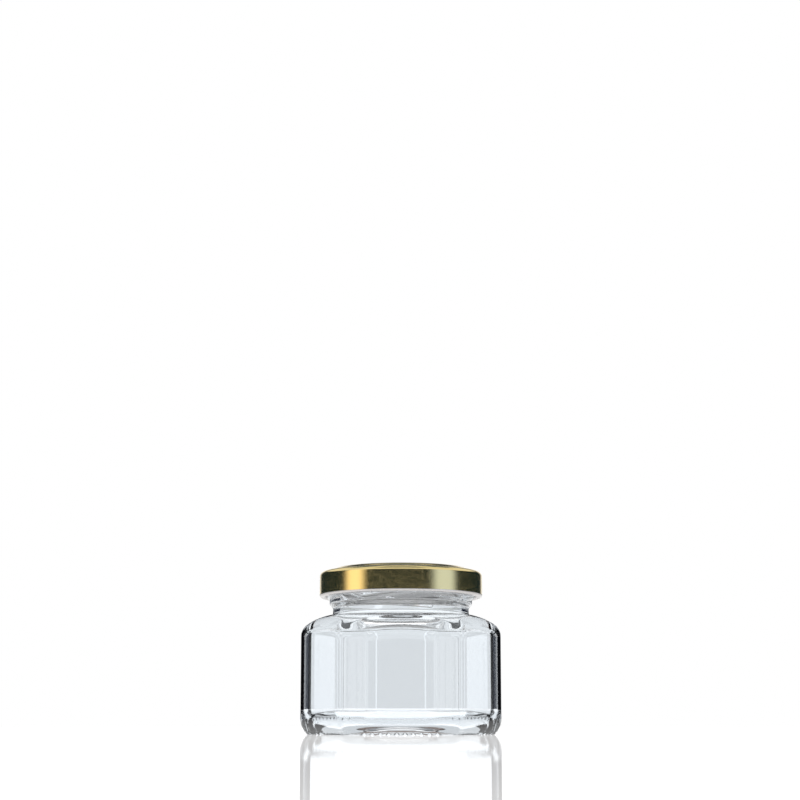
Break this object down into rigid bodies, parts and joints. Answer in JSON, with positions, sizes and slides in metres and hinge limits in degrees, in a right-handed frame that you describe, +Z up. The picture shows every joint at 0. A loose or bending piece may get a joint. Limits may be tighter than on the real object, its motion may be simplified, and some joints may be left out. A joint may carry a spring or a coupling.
{
  "type": "hexagonal glass jar",
  "caption": "Short clear glass jar with a hexagonal body, rounded corners and a round threaded neck, closed by a gold lacquered twist-off metal lid. Stands on its flat base.",
  "frame": {"origin": "centre of the base, on the surface the jar stands on", "axes": "+Z up through the mouth and the lid, a flat side of the hexagon faces -Y, upright corners at +X and -X"},
  "size_m": [0.0686, 0.0616, 0.0566],
  "materials": {
    "clear_glass": "clear, smooth and glossy, faintly cool where the glass is thick",
    "gold_lacquer": "glossy transparent gold lacquer over tinplate, with soft broad reflections"
  },
  "bodies": {
    "root": {"glass_jar": "clear_glass", "twist_lid": "gold_lacquer"}
  },
  "joints": []
}
